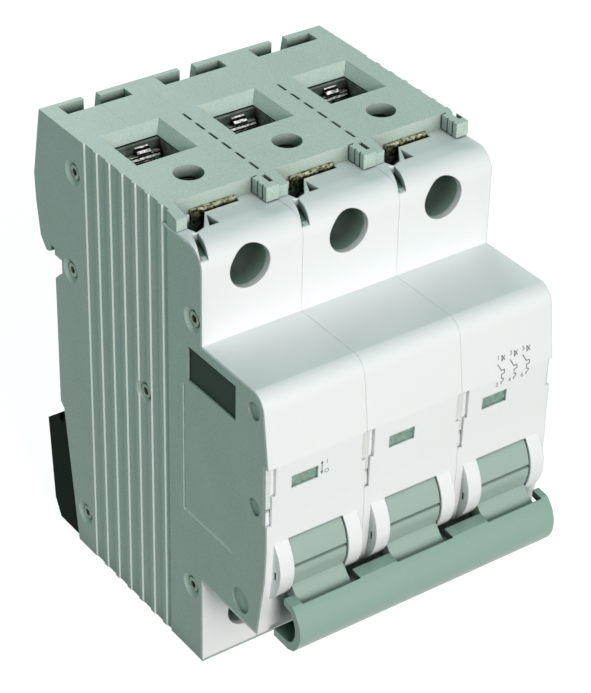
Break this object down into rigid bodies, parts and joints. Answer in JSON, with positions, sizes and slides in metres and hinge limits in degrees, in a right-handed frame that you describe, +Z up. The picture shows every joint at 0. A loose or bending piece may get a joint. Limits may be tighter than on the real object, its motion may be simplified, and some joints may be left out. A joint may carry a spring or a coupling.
{
  "type": "miniature circuit breaker",
  "caption": "Modular DIN-rail circuit breaker: grey ribbed cases with white stepped fronts, toggles joined by a tie bar, clamp terminals above and below, black rail clips.",
  "frame": {"origin": "middle of the bounding box at the base, standing on the lower terminal end", "axes": "+X across the poles to the right seen from the front, -Y the front with the toggles, +Y the rail side, +Z up"},
  "size_m": [0.054, 0.0722, 0.08],
  "materials": {
    "case_grey": "satin",
    "cover_white": "satin",
    "handle_grey": "satin",
    "bar_grey": "satin",
    "clip_black": "satin",
    "plug_black": "matte",
    "flag_green": "matte",
    "zinc_steel": "zinc plated",
    "brass_plate": "bright",
    "copper": "bare",
    "tinned_copper": "tin plated",
    "black_zinc": "black passivated zinc",
    "nickel_brass": "nickel plated",
    "coil_wire": "enamelled",
    "magnet_steel": "plain",
    "spring_steel": "plain",
    "bimetal_strip": "plain",
    "fibre_board": "matte",
    "trip_plastic": "matte"
  },
  "bodies": {
    "case": {"case_left_1": "case_grey", "case_right_1": "case_grey", "front_cover_1": "cover_white", "case_left_2": "case_grey", "case_right_2": "case_grey", "front_cover_2": "cover_white", "case_left_3": "case_grey", "case_right_3": "case_grey", "front_cover_3": "cover_white", "rivets": "nickel_brass", "side_plugs": "plug_black", "clip_springs": "spring_steel", "cages_upper": "black_zinc", "cages_lower": "black_zinc", "line_bars": "tinned_copper", "load_bars": "tinned_copper", "bus_plates": "brass_plate", "coils": "coil_wire", "yokes": "magnet_steel", "fixed_contacts": "copper", "bimetals": "bimetal_strip", "arc_plates": "zinc_steel", "arc_walls": "fibre_board", "pivot_pins": "zinc_steel"},
    "toggle": {"handle_1": "handle_grey", "handle_2": "handle_grey", "handle_3": "handle_grey", "tie_bar": "bar_grey"},
    "contact_arm_1": {"contact_arm_1": "copper"},
    "link_1": {"link_1": "spring_steel"},
    "flag_1": {"flag_1": "flag_green"},
    "din_clip_1": {"din_clip_1": "clip_black"},
    "plunger_1": {"plunger_1": "magnet_steel"},
    "trip_lever_1": {"trip_lever_1": "trip_plastic"},
    "plate_upper_1": {"plate_upper_1": "zinc_steel"},
    "screw_upper_1": {"screw_upper_1": "zinc_steel"},
    "plate_lower_1": {"plate_lower_1": "zinc_steel"},
    "screw_lower_1": {"screw_lower_1": "zinc_steel"},
    "contact_arm_2": {"contact_arm_2": "copper"},
    "link_2": {"link_2": "spring_steel"},
    "flag_2": {"flag_2": "flag_green"},
    "din_clip_2": {"din_clip_2": "clip_black"},
    "plunger_2": {"plunger_2": "magnet_steel"},
    "trip_lever_2": {"trip_lever_2": "trip_plastic"},
    "plate_upper_2": {"plate_upper_2": "zinc_steel"},
    "screw_upper_2": {"screw_upper_2": "zinc_steel"},
    "plate_lower_2": {"plate_lower_2": "zinc_steel"},
    "screw_lower_2": {"screw_lower_2": "zinc_steel"},
    "contact_arm_3": {"contact_arm_3": "copper"},
    "link_3": {"link_3": "spring_steel"},
    "flag_3": {"flag_3": "flag_green"},
    "din_clip_3": {"din_clip_3": "clip_black"},
    "plunger_3": {"plunger_3": "magnet_steel"},
    "trip_lever_3": {"trip_lever_3": "trip_plastic"},
    "plate_upper_3": {"plate_upper_3": "zinc_steel"},
    "screw_upper_3": {"screw_upper_3": "zinc_steel"},
    "plate_lower_3": {"plate_lower_3": "zinc_steel"},
    "screw_lower_3": {"screw_lower_3": "zinc_steel"}
  },
  "joints": [
    {"name": "toggle_swing", "type": "hinge", "parent": "case", "child": "toggle", "pos_m": [0, -0.0237, 0.0297], "axis": [-1, 0, 0], "range_deg": [0, 66]},
    {"name": "arm_swing_1", "type": "hinge", "parent": "case", "child": "contact_arm_1", "pos_m": [-0.0184, -0.0065, 0.048], "axis": [1, 0, 0], "range_deg": [0, 20.2]},
    {"name": "link_turn_1", "type": "hinge", "parent": "toggle", "child": "link_1", "pos_m": [-0.018, -0.02374, 0.0342], "axis": [-1, 0, 0], "range_deg": [-79, 0]},
    {"name": "flag_slide_1", "type": "slide", "parent": "case", "child": "flag_1", "axis": [0, 0, 1], "range_m": [0, 0.00262]},
    {"name": "clip_slide_1", "type": "slide", "parent": "case", "child": "din_clip_1", "axis": [0, -0.1365, -0.9906], "range_m": [0, 0.0045], "stiffness_N_per_m": 400, "springref_m": -0.005},
    {"name": "plunger_slide_1", "type": "slide", "parent": "case", "child": "plunger_1", "axis": [0, 0, -1], "range_m": [0, 0.002], "stiffness_N_per_m": 100, "springref_m": -0.002},
    {"name": "trip_swing_1", "type": "hinge", "parent": "case", "child": "trip_lever_1", "pos_m": [-0.0128, 0.002, 0.0465], "axis": [-1, 0, 0], "range_deg": [0, 9]},
    {"name": "plate_slide_upper_1", "type": "slide", "parent": "case", "child": "plate_upper_1", "axis": [0, 1, 0], "range_m": [-0.002, 0.004]},
    {"name": "screw_turn_upper_1", "type": "hinge", "parent": "plate_upper_1", "child": "screw_upper_1", "pos_m": [-0.0185, 0.0015, 0.0722], "axis": [0, 1, 0], "range_deg": [-905, 1805]},
    {"name": "plate_slide_lower_1", "type": "slide", "parent": "case", "child": "plate_lower_1", "axis": [0, 1, 0], "range_m": [-0.002, 0.004]},
    {"name": "screw_turn_lower_1", "type": "hinge", "parent": "plate_lower_1", "child": "screw_lower_1", "pos_m": [-0.0185, 0.0015, 0.0078], "axis": [0, 1, 0], "range_deg": [-905, 1805]},
    {"name": "arm_swing_2", "type": "hinge", "parent": "case", "child": "contact_arm_2", "pos_m": [-0.0004, -0.0065, 0.048], "axis": [1, 0, 0], "range_deg": [0, 20.2]},
    {"name": "link_turn_2", "type": "hinge", "parent": "toggle", "child": "link_2", "pos_m": [0, -0.02374, 0.0342], "axis": [-1, 0, 0], "range_deg": [-79, 0]},
    {"name": "flag_slide_2", "type": "slide", "parent": "case", "child": "flag_2", "axis": [0, 0, 1], "range_m": [0, 0.00262]},
    {"name": "clip_slide_2", "type": "slide", "parent": "case", "child": "din_clip_2", "axis": [0, -0.1365, -0.9906], "range_m": [0, 0.0045], "stiffness_N_per_m": 400, "springref_m": -0.005},
    {"name": "plunger_slide_2", "type": "slide", "parent": "case", "child": "plunger_2", "axis": [0, 0, -1], "range_m": [0, 0.002], "stiffness_N_per_m": 100, "springref_m": -0.002},
    {"name": "trip_swing_2", "type": "hinge", "parent": "case", "child": "trip_lever_2", "pos_m": [0.0052, 0.002, 0.0465], "axis": [-1, 0, 0], "range_deg": [0, 9]},
    {"name": "plate_slide_upper_2", "type": "slide", "parent": "case", "child": "plate_upper_2", "axis": [0, 1, 0], "range_m": [-0.002, 0.004]},
    {"name": "screw_turn_upper_2", "type": "hinge", "parent": "plate_upper_2", "child": "screw_upper_2", "pos_m": [-0.0005, 0.0015, 0.0722], "axis": [0, 1, 0], "range_deg": [-905, 1805]},
    {"name": "plate_slide_lower_2", "type": "slide", "parent": "case", "child": "plate_lower_2", "axis": [0, 1, 0], "range_m": [-0.002, 0.004]},
    {"name": "screw_turn_lower_2", "type": "hinge", "parent": "plate_lower_2", "child": "screw_lower_2", "pos_m": [-0.0005, 0.0015, 0.0078], "axis": [0, 1, 0], "range_deg": [-905, 1805]},
    {"name": "arm_swing_3", "type": "hinge", "parent": "case", "child": "contact_arm_3", "pos_m": [0.0176, -0.0065, 0.048], "axis": [1, 0, 0], "range_deg": [0, 20.2]},
    {"name": "link_turn_3", "type": "hinge", "parent": "toggle", "child": "link_3", "pos_m": [0.018, -0.02374, 0.0342], "axis": [-1, 0, 0], "range_deg": [-79, 0]},
    {"name": "flag_slide_3", "type": "slide", "parent": "case", "child": "flag_3", "axis": [0, 0, 1], "range_m": [0, 0.00262]},
    {"name": "clip_slide_3", "type": "slide", "parent": "case", "child": "din_clip_3", "axis": [0, -0.1365, -0.9906], "range_m": [0, 0.0045], "stiffness_N_per_m": 400, "springref_m": -0.005},
    {"name": "plunger_slide_3", "type": "slide", "parent": "case", "child": "plunger_3", "axis": [0, 0, -1], "range_m": [0, 0.002], "stiffness_N_per_m": 100, "springref_m": -0.002},
    {"name": "trip_swing_3", "type": "hinge", "parent": "case", "child": "trip_lever_3", "pos_m": [0.0232, 0.002, 0.0465], "axis": [-1, 0, 0], "range_deg": [0, 9]},
    {"name": "plate_slide_upper_3", "type": "slide", "parent": "case", "child": "plate_upper_3", "axis": [0, 1, 0], "range_m": [-0.002, 0.004]},
    {"name": "screw_turn_upper_3", "type": "hinge", "parent": "plate_upper_3", "child": "screw_upper_3", "pos_m": [0.0175, 0.0015, 0.0722], "axis": [0, 1, 0], "range_deg": [-905, 1805]},
    {"name": "plate_slide_lower_3", "type": "slide", "parent": "case", "child": "plate_lower_3", "axis": [0, 1, 0], "range_m": [-0.002, 0.004]},
    {"name": "screw_turn_lower_3", "type": "hinge", "parent": "plate_lower_3", "child": "screw_lower_3", "pos_m": [0.0175, 0.0015, 0.0078], "axis": [0, 1, 0], "range_deg": [-905, 1805]}
  ],
  "couplings": [
    {"joint": "arm_swing_1", "follows": "toggle_swing", "ratio": 0.30303},
    {"joint": "link_turn_1", "follows": "toggle_swing", "ratio": -1.1854},
    {"joint": "flag_slide_1", "follows": "toggle_swing", "m_per_rad": 0.0022571},
    {"joint": "trip_swing_1", "follows": "plunger_slide_1", "rad_per_m": 74},
    {"joint": "screw_turn_upper_1", "follows": "plate_slide_upper_1", "rad_per_m": 7854},
    {"joint": "screw_turn_lower_1", "follows": "plate_slide_lower_1", "rad_per_m": 7854},
    {"joint": "arm_swing_2", "follows": "toggle_swing", "ratio": 0.30303},
    {"joint": "link_turn_2", "follows": "toggle_swing", "ratio": -1.1854},
    {"joint": "flag_slide_2", "follows": "toggle_swing", "m_per_rad": 0.0022571},
    {"joint": "trip_swing_2", "follows": "plunger_slide_2", "rad_per_m": 74},
    {"joint": "screw_turn_upper_2", "follows": "plate_slide_upper_2", "rad_per_m": 7854},
    {"joint": "screw_turn_lower_2", "follows": "plate_slide_lower_2", "rad_per_m": 7854},
    {"joint": "arm_swing_3", "follows": "toggle_swing", "ratio": 0.30303},
    {"joint": "link_turn_3", "follows": "toggle_swing", "ratio": -1.1854},
    {"joint": "flag_slide_3", "follows": "toggle_swing", "m_per_rad": 0.0022571},
    {"joint": "trip_swing_3", "follows": "plunger_slide_3", "rad_per_m": 74},
    {"joint": "screw_turn_upper_3", "follows": "plate_slide_upper_3", "rad_per_m": 7854},
    {"joint": "screw_turn_lower_3", "follows": "plate_slide_lower_3", "rad_per_m": 7854}
  ]
}
